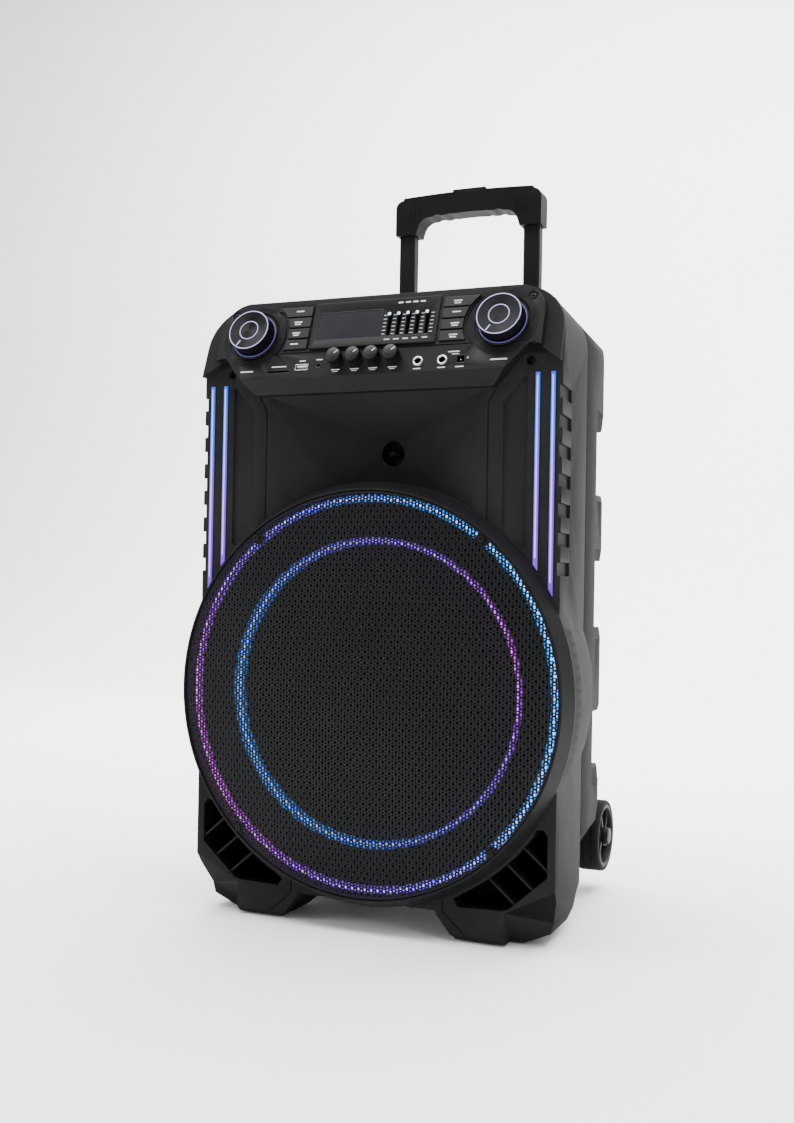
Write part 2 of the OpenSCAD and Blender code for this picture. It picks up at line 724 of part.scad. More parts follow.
grip_crown = 585;
module grip_outline() {
  top_r = 1400;
  difference() {
    intersection() {
      polygon(mirrored(concat([[67, grip_z], [92.5, grip_z]], arc([82.5, 570], 10, 0, 90, 6), [[80, 600]])));
      translate([0, grip_crown - top_r]) circle(r = top_r, $fn = 360);
    }
    polygon(mirrored(concat([[66, grip_z - 1], [65, 541]], arc([48, 541], 16, 12, 90, 6), [[8, 559]])));
    for (i = [-2.5:1:2.5]) translate([i * 15.5, 549]) circle(r = 10);
  }
}
module handle_grip() {
  color("#29292b") placed() difference() {
    front_prism(handle_y - 13.5, handle_y + 13.5) grip_outline();
    both_sides() translate([tube_x, handle_y, grip_z - 1]) linear_extrude(23)
      polygon(rounded(tube[0], tube[1], 2.5));
    translate([-21.4, handle_y - 8.4, grip_crown - 10]) cube([42.8, 16.8, 30]);
  }
}
module handle_release() {
  color("#202022") placed() translate([-21, handle_y - 8, grip_crown - 6.5]) cube([42, 16, 11]);
}
module handle_tubes() {
  color("#3f3f42") placed() both_sides() translate([tube_x, handle_y, grip_z + 22 - tube_length])
    linear_extrude(tube_length) difference() {
      polygon(rounded(tube[0], tube[1], 2.5));
      polygon(rounded(tube[0] - 2 * tube_wall, tube[1] - 2 * tube_wall, 1.2));
    }
}
module handle_guides() {
  color("#1c1c1d") placed() both_sides() translate([tube_x, handle_y, -150])
    linear_extrude(guide_top + 150) difference() {
      polygon(rounded(guide[0], guide[1], 3));
      polygon(rounded(tube[0] + 2 * guide_gap, tube[1] + 2 * guide_gap, 2.8));
    }
}

module axle() {
  color("#a8a8ab") placed() translate([0, wheel_y, axle_z]) rotate([0, 90, 0]) {
    cylinder(h = 2 * wheel_x + tyre_w + 2, r = axle_r, center = true);
    for (s = [-1, 1]) translate([0, 0, s * (wheel_x + tyre_w / 2 + 2.2)])
      cylinder(h = 3, r = axle_disc_r, center = true);
  }
}
module hub(s) {
  color("#303033") placed() translate([s * wheel_x, wheel_y, axle_z]) rotate([0, 90, 0]) difference() {
    union() {
      difference() {
        cylinder(h = tyre_w, r = tyre_r - 5, center = true);
        cylinder(h = tyre_w + 2, r = tyre_r - 9, center = true);
      }
      cylinder(h = tyre_w + 1, r = 10, center = true);
      for (a = [18:72:306]) rotate([0, 0, a]) translate([0, -3, 4 - tyre_w / 2])
        cube([tyre_r - 8, 6, tyre_w - 8]);
      cylinder(h = 4, r = tyre_r - 8, center = true);
    }
    cylinder(h = 60, r = axle_r + 0.05, center = true);
  }
}
module tyre(s) {
  color("#1a1a1a") placed() translate([s * wheel_x, wheel_y, axle_z]) rotate([0, 90, 0]) rotate_extrude()
    polygon([[tyre_r - 5, -tyre_w / 2], [tyre_r - 2, -tyre_w / 2], [tyre_r, 2 - tyre_w / 2],
      [tyre_r, tyre_w / 2 - 2], [tyre_r - 2, tyre_w / 2], [tyre_r - 5, tyre_w / 2]]);
}
module rubber_feet() {
  color("#101010") placed() both_sides() {
    translate([125, 62, -grille_z]) cylinder(h = 2, r = 15);
    translate([118, 259, -grille_z]) cylinder(h = 2, r = 15);
  }
}
module panel_screws() {
  color("#29292b") placed() for (s = [-1, 1]) {
    on_panel() translate([s * face_screw[0], 0, face_screw[1]]) rotate([-90, 0, 0]) screw(3.8, 9);
    translate([s * tab_screw[0], plate_y + 4, tab_screw[1]]) rotate([-90, 0, 0]) screw(3.8, 9);
  }
}
module screw(r, depth) {
  cylinder(h = 2, r = r);
  translate([0, 0, 2]) cylinder(h = depth, r = 1.7);
}
module shell_screws() {
  color("#8a8a8d") placed() for (p = shell_screw_points) {
    rod_y(rear_y - 2.5, rear_y - 0.5, 4.6, p[0], p[1]);
    rod_y(rear_y - 30, rear_y - 2.5, 2.2, p[0], p[1]);
  }
}

front_baffle();
rear_shell();
corner_trims();
control_panel();
display_plate();
display_window();
grille();
grille_bezel();
light_ring_outer();
light_ring_inner();
light_bars();
vent_louvres();
woofer_basket();
woofer_cone();
woofer_surround();
woofer_dust_cap();
woofer_magnet();
tweeter_driver();
mic_knob();
volume_knob();
knob_light_rings();
for (i = [0:3]) small_knob(i);
for (i = [0:4]) eq_slider(i);
for (i = [0:3]) button(i, -1);
for (i = [0:3]) button(i, 1);
jack_sockets();
dc_socket();
usb_socket();
card_slot();
aux_socket();
control_board();
amplifier_board();
battery_pack();
handle_grip();
handle_tubes();
handle_release();
handle_guides();
axle();
hub(-1);  // hub_left
tyre(-1);  // tyre_left
hub(1);  // hub_right
tyre(1);  // tyre_right
rubber_feet();
panel_screws();
grille_screws();
woofer_screws();
shell_screws();
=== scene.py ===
"""Looks of the trolley party speaker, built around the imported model. Lengths are metres."""
import bpy
import bmesh
import json
import math
from mathutils import Matrix, Vector


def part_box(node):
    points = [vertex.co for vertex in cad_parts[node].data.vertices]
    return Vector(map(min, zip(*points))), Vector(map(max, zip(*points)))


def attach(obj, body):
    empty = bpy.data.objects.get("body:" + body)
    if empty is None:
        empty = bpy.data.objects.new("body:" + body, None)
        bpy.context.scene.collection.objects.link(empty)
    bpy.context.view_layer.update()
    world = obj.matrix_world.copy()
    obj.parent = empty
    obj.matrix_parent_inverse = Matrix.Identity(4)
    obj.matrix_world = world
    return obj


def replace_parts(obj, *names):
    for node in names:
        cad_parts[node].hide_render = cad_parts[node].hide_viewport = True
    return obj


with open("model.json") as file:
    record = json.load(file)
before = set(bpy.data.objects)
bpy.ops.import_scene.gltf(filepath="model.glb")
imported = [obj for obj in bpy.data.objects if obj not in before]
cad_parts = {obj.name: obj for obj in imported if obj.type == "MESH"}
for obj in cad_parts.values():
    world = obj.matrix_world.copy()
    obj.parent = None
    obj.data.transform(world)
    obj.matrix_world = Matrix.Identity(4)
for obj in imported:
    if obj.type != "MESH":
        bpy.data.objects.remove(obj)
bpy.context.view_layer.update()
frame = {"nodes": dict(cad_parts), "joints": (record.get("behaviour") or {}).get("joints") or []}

MM = 0.001


# ---------------------------------------------------------------- places taken from the frame
def corner(node):
    lo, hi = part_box(node)
    return Vector(lo), Vector(hi)


def middle(node):
    lo, hi = corner(node)
    return (lo + hi) / 2


joints = {j["name"]: j for j in frame["joints"]}
# the grille's centre, on its front plane
RING = Vector((0.0, corner("grille_bezel")[0].y, middle("grille_bezel").z))
INWARD = Vector(joints["volume_knob_turn"]["axis"]).normalized()
UP_FACE = Vector(joints["eq_slider_1_travel"]["axis"]).normalized()
ACROSS = Vector((1, 0, 0))


def joint_point(name):
    return Vector(joints[name]["pos_m"])


KNOB_BASE = joint_point("volume_knob_turn")
BIG_KNOB_X, BIG_KNOB_V = 136, 51    # the large knobs' places, mm across and up the tilted panel
PANEL_ORIGIN = Vector((0, KNOB_BASE.y, KNOB_BASE.z)) - BIG_KNOB_V * MM * UP_FACE


def at_ring(x, y, z):
    """Millimetres from the grille's centre: right, back, up."""
    return RING + Vector((x, y, z)) * MM


def on_panel(x, depth, v):
    """Millimetres on the tilted face: across, into the face, up the face."""
    return PANEL_ORIGIN + (ACROSS * x + INWARD * depth + UP_FACE * v) * MM


def panel_matrix(x, depth, v):
    """Local x across, local y up the face, local z out of the face."""
    m = Matrix.Identity(4)
    for row in range(3):
        m[row][0] = ACROSS[row]
        m[row][1] = UP_FACE[row]
        m[row][2] = -INWARD[row]
        m[row][3] = on_panel(x, depth, v)[row]
    return m


# ---------------------------------------------------------------- materials
EDGE_SOFTNESS = 0.0006


def new_material(name):
    mat = bpy.data.materials.new(name)
    mat.use_nodes = True
    tree = mat.node_tree
    return mat, tree, tree.nodes["Principled BSDF"]


def coords(tree):
    return tree.nodes.new("ShaderNodeTexCoord").outputs["Object"]


def noise(tree, scale, detail=3.0, rough=0.6):
    n = tree.nodes.new("ShaderNodeTexNoise")
    n.inputs["Scale"].default_value = scale
    n.inputs["Detail"].default_value = detail
    n.inputs["Roughness"].default_value = rough
    tree.links.new(coords(tree), n.inputs["Vector"])
    return n.outputs["Fac"]


def ramp(tree, fac, stops):
    """Colour by a value, from stops of (position, colour)."""
    r = tree.nodes.new("ShaderNodeValToRGB")
    elements = r.color_ramp.elements
    elements.remove(elements[1])
    elements[0].position = stops[0][0]
    elements[0].color = tuple(stops[0][1]) + (1.0,)
    for position, colour in stops[1:]:
        elements.new(position).color = tuple(colour) + (1.0,)
    tree.links.new(fac, r.inputs["Fac"])
    return r.outputs["Color"]


def map_range(tree, value, **limits):
    """Scales a value. limits are the node's own ranges, such as To_Min, and the rest stay 0 to 1."""
    m = tree.nodes.new("ShaderNodeMapRange")
    for name, limit in limits.items():
        m.inputs[name.replace("_", " ")].default_value = limit
    tree.links.new(value, m.inputs["Value"])
    return m.outputs["Result"]


def bump(tree, bsdf, height, strength, distance):
    """Bump over edges that the shading softens a little."""
    b = tree.nodes.new("ShaderNodeBump")
    soft = tree.nodes.new("ShaderNodeBevel")
    soft.samples = 4
    soft.inputs["Radius"].default_value = EDGE_SOFTNESS
    tree.links.new(soft.outputs["Normal"], b.inputs["Normal"])
    b.inputs["Strength"].default_value = strength
    b.inputs["Distance"].default_value = distance
    tree.links.new(height, b.inputs["Height"])
    tree.links.new(b.outputs["Normal"], bsdf.inputs["Normal"])


def mottled(tree, scale, dark, light, detail=3.0):
    """Colour that drifts between two tones."""
    return ramp(tree, noise(tree, scale, detail), [(0.3, dark), (0.7, light)])


def grained(name, dark, light, rough, grain=1400.0, strength=0.35, depth=0.00025, metallic=0.0, specular=0.3):
    """Moulded or painted skin: fine grain in the bump, slow drift in colour and roughness."""
    mat, tree, bsdf = new_material(name)
    tree.links.new(mottled(tree, 9.0, dark, light, 4.0), bsdf.inputs["Base Color"])
    roughness = map_range(tree, noise(tree, 34.0, 5.0), To_Min=rough[0], To_Max=rough[1])
    tree.links.new(roughness, bsdf.inputs["Roughness"])
    bsdf.inputs["Metallic"].default_value = metallic
    bsdf.inputs["Specular IOR Level"].default_value = specular
    bump(tree, bsdf, noise(tree, grain, 2.0, 0.5), strength, depth)
    return mat


def glow(name, colour, strength):
    """A lit light guide: frosted plastic with an even glow. colour makes the colour in the node tree."""
    mat, tree, bsdf = new_material(name)
    bsdf.inputs["Base Color"].default_value = (0.03, 0.03, 0.09, 1)
    bsdf.inputs["Roughness"].default_value = 0.35
    tree.links.new(colour(tree), bsdf.inputs["Emission Color"])
    bsdf.inputs["Emission Strength"].default_value = strength
    bump(tree, bsdf, noise(tree, 700.0), 0.1, 0.0002)
    return mat


def around_ring(tree, stops):
    """Colour by the angle about the grille's axis: 0 at the left, 0.25 at the bottom, 0.5 at the right."""
    sep = tree.nodes.new("ShaderNodeSeparateXYZ")
    sub = tree.nodes.new("ShaderNodeVectorMath")
    sub.operation = "SUBTRACT"
    sub.inputs[1].default_value = tuple(RING)
    tree.links.new(coords(tree), sub.inputs[0])
    tree.links.new(sub.outputs["Vector"], sep.inputs["Vector"])
    atan = tree.nodes.new("ShaderNodeMath")
    atan.operation = "ARCTAN2"
    tree.links.new(sep.outputs["Z"], atan.inputs[0])
    tree.links.new(sep.outputs["X"], atan.inputs[1])
    return ramp(tree, map_range(tree, atan.outputs["Value"], From_Min=-math.pi, From_Max=math.pi), stops)


def up_bars(tree, stops):
    """Colour by the height along the light bars: 0 at their lowest point, 1 at their top."""
    low, high = corner("light_bars")
    sep = tree.nodes.new("ShaderNodeSeparateXYZ")
    tree.links.new(coords(tree), sep.inputs["Vector"])
    return ramp(tree, map_range(tree, sep.outputs["Z"], From_Min=low.z, From_Max=high.z), stops)


M = {
    "shell": grained("shell_black", (0.011, 0.011, 0.0115), (0.0145, 0.0145, 0.015), (0.62, 0.74),
                     specular=0.035),
    "rear": grained("rear_black", (0.009, 0.009, 0.0095), (0.012, 0.012, 0.0125), (0.62, 0.72),
                    specular=0.025),
    "panel": grained("panel_black", (0.005, 0.005, 0.0055), (0.007, 0.007, 0.0075), (0.46, 0.56), 2200.0,
                     0.2, specular=0.1),
    "trim": grained("trim_black", (0.005, 0.005, 0.0055), (0.007, 0.007, 0.0075), (0.4, 0.5), 2600.0, 0.15,
                    specular=0.1),
    "button": grained("button_black", (0.004, 0.004, 0.0045), (0.0055, 0.0055, 0.006), (0.42, 0.52), 2600.0,
                      0.15, specular=0.2),
    "grille": grained("grille_paint", (0.0045, 0.0045, 0.0048), (0.0065, 0.0065, 0.007), (0.42, 0.55),
                      900.0, 0.15, 0.0002, specular=0.12),
    # near-black of the woofer's basket and surround, and also painted shade: the corner vents' walls and
    # floor get this in place of the shell's own tone
    "black_and_vent_shade": grained("black_parts_and_painted_vent_shade", (0.002, 0.002, 0.002), (0.003, 0.003, 0.003), (0.8, 0.95), 900.0, 0.2,
                      specular=0.1),
    "lens": grained("lens_dark", (0.009, 0.009, 0.012), (0.012, 0.012, 0.016), (0.16, 0.22), 300.0, 0.01,
                    0.0001, specular=0.2),
    "rubber": grained("rubber_black", (0.006, 0.006, 0.006), (0.009, 0.009, 0.009), (0.7, 0.85), 800.0, 0.4,
                      specular=0.1),
    "nickel": grained("nickel", (0.52, 0.50, 0.44), (0.62, 0.60, 0.54), (0.2, 0.32), 500.0, 0.05, 0.0001,
                      1.0),
    "screw": grained("screw_black", (0.008, 0.008, 0.008), (0.012, 0.012, 0.012), (0.36, 0.48), 900.0, 0.1,
                     0.0001, 0.5, specular=0.2),
    "tube": grained("tube_paint", (0.009, 0.009, 0.0095), (0.012, 0.012, 0.0125), (0.4, 0.5), 1500.0, 0.12,
                    0.0002, specular=0.035),
    "board": grained("board_green", (0.02, 0.09, 0.04), (0.03, 0.13, 0.05), (0.3, 0.5), 400.0, 0.1),
    "cone": grained("cone_fibre", (0.004, 0.004, 0.0045), (0.008, 0.008, 0.0085), (0.75, 0.9), 500.0, 0.6),
    "ferrite": grained("ferrite", (0.06, 0.06, 0.06), (0.1, 0.1, 0.1), (0.5, 0.7), 600.0, 0.3),
    "battery": grained("battery_wrap", (0.03, 0.03, 0.05), (0.05, 0.05, 0.07), (0.3, 0.4), 300.0, 0.1),
    "socket_black": grained("socket_black", (0.003, 0.003, 0.003), (0.005, 0.005, 0.005), (0.25, 0.35),
                            900.0, 0.05),
    "hub": grained("hub_black", (0.007, 0.007, 0.0075), (0.010, 0.010, 0.0105), (0.45, 0.55), 1500.0, 0.2,
                   specular=0.1),
    "grip": grained("grip_black", (0.006, 0.006, 0.0065), (0.0085, 0.0085, 0.009), (0.48, 0.58), 1800.0,
                    0.25, specular=0.04),
    "knurl": grained("knurl_black", (0.002, 0.002, 0.0022), (0.0035, 0.0035, 0.004), (0.4, 0.5), 1500.0,
                     0.1, 0.0001, specular=0.12),
    "cap_metal": grained("cap_metal", (0.02, 0.02, 0.021), (0.03, 0.03, 0.031), (0.34, 0.44), 900.0, 0.08,
                         0.0001, 0.9),
    "contact": grained("contact_gold", (0.75, 0.55, 0.22), (0.82, 0.62, 0.28), (0.2, 0.3), 500.0, 0.05,
                       0.0001, 1.0),
    "ink": grained("print_white", (0.5, 0.5, 0.52), (0.58, 0.58, 0.6), (0.5, 0.6), 900.0, 0.05),
}
AZURE = (0.0, 0.34, 1.0)
BLUE = (0.0, 0.25, 1.0)
VIOLET = (0.22, 0.01, 0.95)
MAGENTA = (0.60, 0.0, 0.85)
OUTER_TURN = [(0.0, MAGENTA), (0.1, MAGENTA), (0.22, VIOLET), (0.32, (0.12, 0.06, 1.0)),
              (0.42, (0.02, 0.30, 1.0)), (0.5, AZURE), (0.62, AZURE), (0.72, BLUE), (0.8, (0.06, 0.10, 1.0)),
              (0.9, VIOLET), (1.0, MAGENTA)]
INNER_TURN = [(0.0, BLUE), (0.2, (0.0, 0.22, 1.0)), (0.33, (0.05, 0.04, 1.0)), (0.44, VIOLET),
              (0.55, MAGENTA), (0.68, VIOLET), (0.78, (0.12, 0.03, 0.95)), (0.88, (0.01, 0.14, 1.0)),
              (1.0, BLUE)]
BAR_RISE = [(0.0, (0.14, 0.02, 0.9)), (0.15, (0.30, 0.06, 0.95)), (0.45, (0.26, 0.10, 1.0)),
            (0.7, (0.10, 0.16, 1.0)), (0.88, (0.0, 0.18, 1.0)), (1.0, (0.0, 0.12, 1.0))]


def towards_white(stops, share):
    return [(p, tuple(c + (1.0 - c) * share for c in colour)) for p, colour in stops]


def lit_pair(name, spread, stops, strength, core_strength, core_white):
    """The lamp's own colour and its paler, brighter middle. spread lays the stops over the lamp."""
    M[name] = glow(f"{name}_glow", lambda t: spread(t, stops), strength)
    core = towards_white(stops, core_white)
    M[f"{name}_core"] = glow(f"{name}_core_glow", lambda t: spread(t, core), core_strength)


lit_pair("ring_outer", around_ring, OUTER_TURN, 1.6, 4.5, 0.1)
lit_pair("ring_inner", around_ring, INNER_TURN, 1.2, 3.2, 0.08)
lit_pair("bar", up_bars, BAR_RISE, 0.9, 2.6, 0.25)


def plain_glow(name, colour, strength):
    """A small lamp of one colour."""
    mat, tree, bsdf = new_material(name)
    bsdf.inputs["Base Color"].default_value = (0.04, 0.04, 0.07, 1)
    bsdf.inputs["Roughness"].default_value = 0.4
    brighter = tuple(min(1, c * 1.1) for c in colour)
    tree.links.new(mottled(tree, 60.0, colour, brighter), bsdf.inputs["Emission Color"])
    bsdf.inputs["Emission Strength"].default_value = strength
    return mat


M["knob_line"] = plain_glow("knob_line_glow", (0.56, 0.5, 1.0), 1.6)
M["knob_base"] = plain_glow("knob_base_glow", (0.16, 0.10, 1.0), 0.22)
M["cap"] = plain_glow("slider_cap_glow", (0.55, 0.72, 1.0), 3.2)
M["led"] = plain_glow("led_glow", (0.5, 0.7, 1.0), 0.5)


def spun_metal():
    """Dark anodised face turned on a lathe: fine circular lines about local z, and a sweep of light."""
    line_pitch = 0.45 * MM
    mat, tree, bsdf = new_material("spun_metal")
    sep = tree.nodes.new("ShaderNodeSeparateXYZ")
    tree.links.new(coords(tree), sep.inputs["Vector"])
    flat = tree.nodes.new("ShaderNodeCombineXYZ")
    tree.links.new(sep.outputs["X"], flat.inputs["X"])
    tree.links.new(sep.outputs["Y"], flat.inputs["Y"])
    length = tree.nodes.new("ShaderNodeVectorMath")
    length.operation = "LENGTH"
    tree.links.new(flat.outputs["Vector"], length.inputs[0])
    wave = tree.nodes.new("ShaderNodeMath")
    wave.operation = "MULTIPLY"
    wave.inputs[1].default_value = 2 * math.pi / line_pitch
    tree.links.new(length.outputs["Value"], wave.inputs[0])
    sine = tree.nodes.new("ShaderNodeMath")
    sine.operation = "SINE"
    tree.links.new(wave.outputs["Value"], sine.inputs[0])
    tone = mottled(tree, 25.0, (0.012, 0.012, 0.013), (0.02, 0.02, 0.021))
    tree.links.new(tone, bsdf.inputs["Base Color"])
    bsdf.inputs["Metallic"].default_value = 1.0
    bsdf.inputs["Roughness"].default_value = 0.3
    bsdf.inputs["Anisotropic"].default_value = 0.9
    tangent = tree.nodes.new("ShaderNodeTangent")
    tangent.direction_type = "RADIAL"
    tangent.axis = "Z"
    tree.links.new(tangent.outputs["Tangent"], bsdf.inputs["Tangent"])
    bump(tree, bsdf, sine.outputs["Value"], 0.15, 0.00006)
    return mat


M["spun"] = spun_metal()


# ---------------------------------------------------------------- mesh helpers
SHARP_ANGLE = 32


def add_object(name, bm, material, body="cabinet", smooth=35, matrix=None):
    """Turns a bmesh into a piece that rides on a body. Its materials follow the faces' indices."""
    mesh = bpy.data.meshes.new(name)
    bmesh.ops.recalc_face_normals(bm, faces=bm.faces)
    bm.to_mesh(mesh)
    bm.free()
    obj = bpy.data.objects.new(name, mesh)
    bpy.context.collection.objects.link(obj)
    if matrix is not None:
        obj.matrix_world = matrix
    for mat in material if isinstance(material, (list, tuple)) else [material]:
        mesh.materials.append(mat)
    if smooth:
        mesh.shade_smooth()
        mesh.set_sharp_from_angle(angle=math.radians(smooth))
    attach(obj, body)
    return obj


def round_edges(obj, width, segments=2):
    """Breaks the edges sharper than SHARP_ANGLE by a small round, width in mm."""
    mod = obj.modifiers.new("edge_round", "BEVEL")
    mod.width = width * MM
    mod.segments = segments
    mod.limit_method = "ANGLE"
    mod.angle_limit = math.radians(SHARP_ANGLE)
    mod.use_clamp_overlap = True
    mod.miter_outer = "MITER_ARC"
    mod.harden_normals = True


def polish(node, material, width, segments=2, body="cabinet"):
    """The CAD node's own shape with its edges broken by a small round."""
    bm = bmesh.new()
    bm.from_mesh(frame["nodes"][node].data)
    bmesh.ops.remove_doubles(bm, verts=bm.verts, dist=1e-6)
    bmesh.ops.dissolve_limit(bm, angle_limit=math.radians(0.6), verts=bm.verts, edges=bm.edges)
    bmesh.ops.triangulate(bm, faces=[f for f in bm.faces if len(f.verts) > 4])
    obj = add_object(node + "_skin", bm, material, body, smooth=SHARP_ANGLE)
    round_edges(obj, width, segments)
    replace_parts(obj, node)
    return obj


def dress(node, material):
    """Keeps the CAD node and gives it a finish."""
    mesh = frame["nodes"][node].data
    mesh.materials.clear()
    mesh.materials.append(material)


def lathe(bm, profile, segments=64, materials=(), flutes=0, flute_depth=0.0, fluted=(), close=True):
    """Surface of revolution about local z. profile is [(radius, z)] in mm, from its bottom up.
    fluted names the profile points whose radius is cut by flutes; materials gives each band's index."""
    rings = []
    for k, (r, z) in enumerate(profile):
        ring = []
        for i in range(segments):
            a = 2 * math.pi * i / segments
            cut = flute_depth * (0.5 - 0.5 * math.cos(flutes * a)) if k in fluted else 0.0
            ring.append(bm.verts.new(((r - cut) * MM * math.cos(a), (r - cut) * MM * math.sin(a), z * MM)))
        rings.append(ring)
    pairs = list(zip(rings, rings[1:]))
    for k, (low, high) in enumerate(pairs):
        for i in range(segments):
            j = (i + 1) % segments
            face = bm.faces.new((low[i], low[j], high[j], high[i]))
            face.material_index = materials[k] if k < len(materials) else 0
    if close:
        bm.faces.new(list(reversed(rings[0])))
        top = bm.faces.new(rings[-1])
        top.material_index = materials[-1] if materials else 0
    return rings


def tube_ring(bm, profile, segments=96, index=0):
    """A closed ring about local z from a closed profile of (radius, z) in mm."""
    rings = []
    for r, z in profile:
        rings.append([bm.verts.new((r * MM * math.cos(2 * math.pi * i / segments),
                                    r * MM * math.sin(2 * math.pi * i / segments), z * MM))
                      for i in range(segments)])
    for low, high in zip(rings, rings[1:] + rings[:1]):
        for i in range(segments):
            j = (i + 1) % segments
            bm.faces.new((low[i], low[j], high[j], high[i])).material_index = index


def slab(bm, outline, z0, z1, index=0):
    """An outline [(x, y)] in mm raised from z0 to z1."""
    low = [bm.verts.new((x * MM, y * MM, z0 * MM)) for x, y in outline]
    high = [bm.verts.new((x * MM, y * MM, z1 * MM)) for x, y in outline]
    n = len(outline)
    faces = [bm.faces.new(list(reversed(low))), bm.faces.new(high)]
    for i in range(n):
        faces.append(bm.faces.new((low[i], low[(i + 1) % n], high[(i + 1) % n], high[i])))
    for f in faces:
        f.material_index = index


def box_outline(cx, cy, w, h):
    """Rectangle about its middle, counter-clockwise."""
    return [(cx + sx * w / 2, cy + sy * h / 2) for sx, sy in ((-1, -1), (1, -1), (1, 1), (-1, 1))]


def round_outline(cx, cy, w, h, r, steps=4):
    """Rectangle about its middle with round corners, counter-clockwise."""
    points = []
    for k, (sx, sy) in enumerate(((1, 1), (-1, 1), (-1, -1), (1, -1))):
        for i in range(steps + 1):
            a = math.pi / 2 * (k + i / steps)
            points.append((cx + sx * (w / 2 - r) + r * math.cos(a), cy + sy * (h / 2 - r) + r * math.sin(a)))
    return points


def facing(point, out):
    """Placement with local z along out and local y upright."""
    z = Vector(out).normalized()
    x = Vector((0, 0, 1)).cross(z).normalized()
    y = z.cross(x)
    m = Matrix.Identity(4)
    for row in range(3):
        m[row][0], m[row][1], m[row][2], m[row][3] = x[row], y[row], z[row], point[row]
    return m


def add_part(bm, part):
    """Moves all of part's geometry into bm, and frees part."""
    mesh = bpy.data.meshes.new("part")
    part.to_mesh(mesh)
    part.free()
    bm.from_mesh(mesh)
    bpy.data.meshes.remove(mesh)


def cross_screw(radius, height, depth):
    """A pan head with a cross recess, standing on local z = 0."""
    bm = bmesh.new()
    segments = 24
    slot_w, slot_l = radius * 0.17, radius * 0.62
    side = lathe(bm, [(radius * 0.98, 0), (radius, height * 0.35), (radius * 0.9, height * 0.8),
                      (radius * 0.72, height)], segments, close=False)
    cross = []
    for k in range(4):
        c, s = round(math.cos(math.pi / 2 * k)), round(math.sin(math.pi / 2 * k))
        for x, y in ((slot_l, -slot_w), (slot_l, slot_w), (slot_w, slot_w)):
            cross.append(((c * x - s * y) * MM, (s * x + c * y) * MM))
    top = [bm.verts.new((x, y, height * MM)) for x, y in cross]
    floor = [bm.verts.new((x * 0.8, y * 0.8, (height - depth) * MM)) for x, y in cross]
    n = len(top)
    edges = [bm.edges.new((top[i], top[(i + 1) % n])) for i in range(n)]
    rim = side[-1]
    rim_edges = [bm.edges.get((rim[i], rim[(i + 1) % segments])) for i in range(segments)]
    bmesh.ops.triangle_fill(bm, edges=edges + rim_edges, use_beauty=True)
    for i in range(n):
        bm.faces.new((top[i], top[(i + 1) % n], floor[(i + 1) % n], floor[i]))
    bm.faces.new(floor)
    bm.faces.new(list(reversed(side[0])))
    return bm


def screws(name, node, places, radius, height, depth):
    """One piece with a cross-head screw at each placement matrix."""
    bm = bmesh.new()
    for place in places:
        screw = cross_screw(radius, height, depth)
        screw.transform(place)
        add_part(bm, screw)
    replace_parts(add_object(name, bm, M["screw"], smooth=30), node)


# ---------------------------------------------------------------- shells, bars and inner parts
AXIS_OUT = facing(RING, (0, -1, 0))         # local z out of the grille, along its axis
front = polish("front_baffle", M["shell"], 1.0)
polish("rear_shell", M["rear"], 1.2)
polish("corner_trims", M["shell"], 0.8)
polish("control_panel", M["panel"], 0.8)
polish("display_plate", M["panel"], 0.6)
polish("grille_bezel", M["trim"], 0.5)
polish("light_bars", M["bar"], 0.6)
polish("vent_louvres", M["trim"], 0.4)
polish("handle_grip", M["grip"], 2.0, 3, "handle")
polish("handle_release", M["grip"], 1.2, 3, "handle_release")
polish("rubber_feet", M["rubber"], 0.5)
for name in (f"button_{side}_{i}" for side in ("left", "right") for i in range(1, 5)):
    polish(name, M["button"], 0.5, body=name)
for node, mat in (("woofer_basket", "black_and_vent_shade"), ("woofer_cone", "cone"), ("woofer_surround", "black_and_vent_shade"),
                  ("woofer_dust_cap", "cone"), ("woofer_magnet", "ferrite"), ("woofer_screws", "screw"),
                  ("tweeter_driver", "trim"), ("control_board", "board"), ("amplifier_board", "board"),
                  ("battery_pack", "battery"), ("handle_guides", "trim"), ("axle", "hub"),
                  ("handle_tubes", "tube")):
    dress(node, M[mat])


VENT_X, VENT_Y, VENT_Z = (93, 188.3), (19.5, 59), (-203.5, -119)       # the corner vents' reach
COLLAR_EDGE_R = 215


def in_vent(p):
    """Is a point, in mm from the grille's centre, on the walls or floor of a corner vent?"""
    spans = ((abs(p.x), VENT_X), (p.y, VENT_Y), (p.z, VENT_Z))
    return all(low < value < high for value, (low, high) in spans) and math.hypot(p.x, p.z) > COLLAR_EDGE_R


# painted shade: faces on the corner vents' walls and floor get the near-black material, much darker than the
# shell plastic they are part of
front.data.materials.append(M["black_and_vent_shade"])
for face in front.data.polygons:
    if in_vent((face.center - RING) / MM):
        face.material_index = 1


def bar_cores():
    """The bright middle of each light bar. The bars' lower ends follow the collar."""
    bar_x, bar_foot_r, bar_top = (171.2, 186.6), 214, 316
    end_gap, rise, core_w, front = 6, 3, 1.5, -17.2
    bm = bmesh.new()
    for x in bar_x:
        foot = math.sqrt(bar_foot_r ** 2 - x ** 2)
        centre, length = (foot + bar_top) / 2 + rise, bar_top - foot - 2 * end_gap
        for s in (-1, 1):
            slab(bm, round_outline(s * x, centre, core_w, length, 0.7, 3), front - 0.2, front)
    bm.transform(AXIS_OUT)
    add_object("bar_cores", bm, M["bar_core"])


bar_cores()


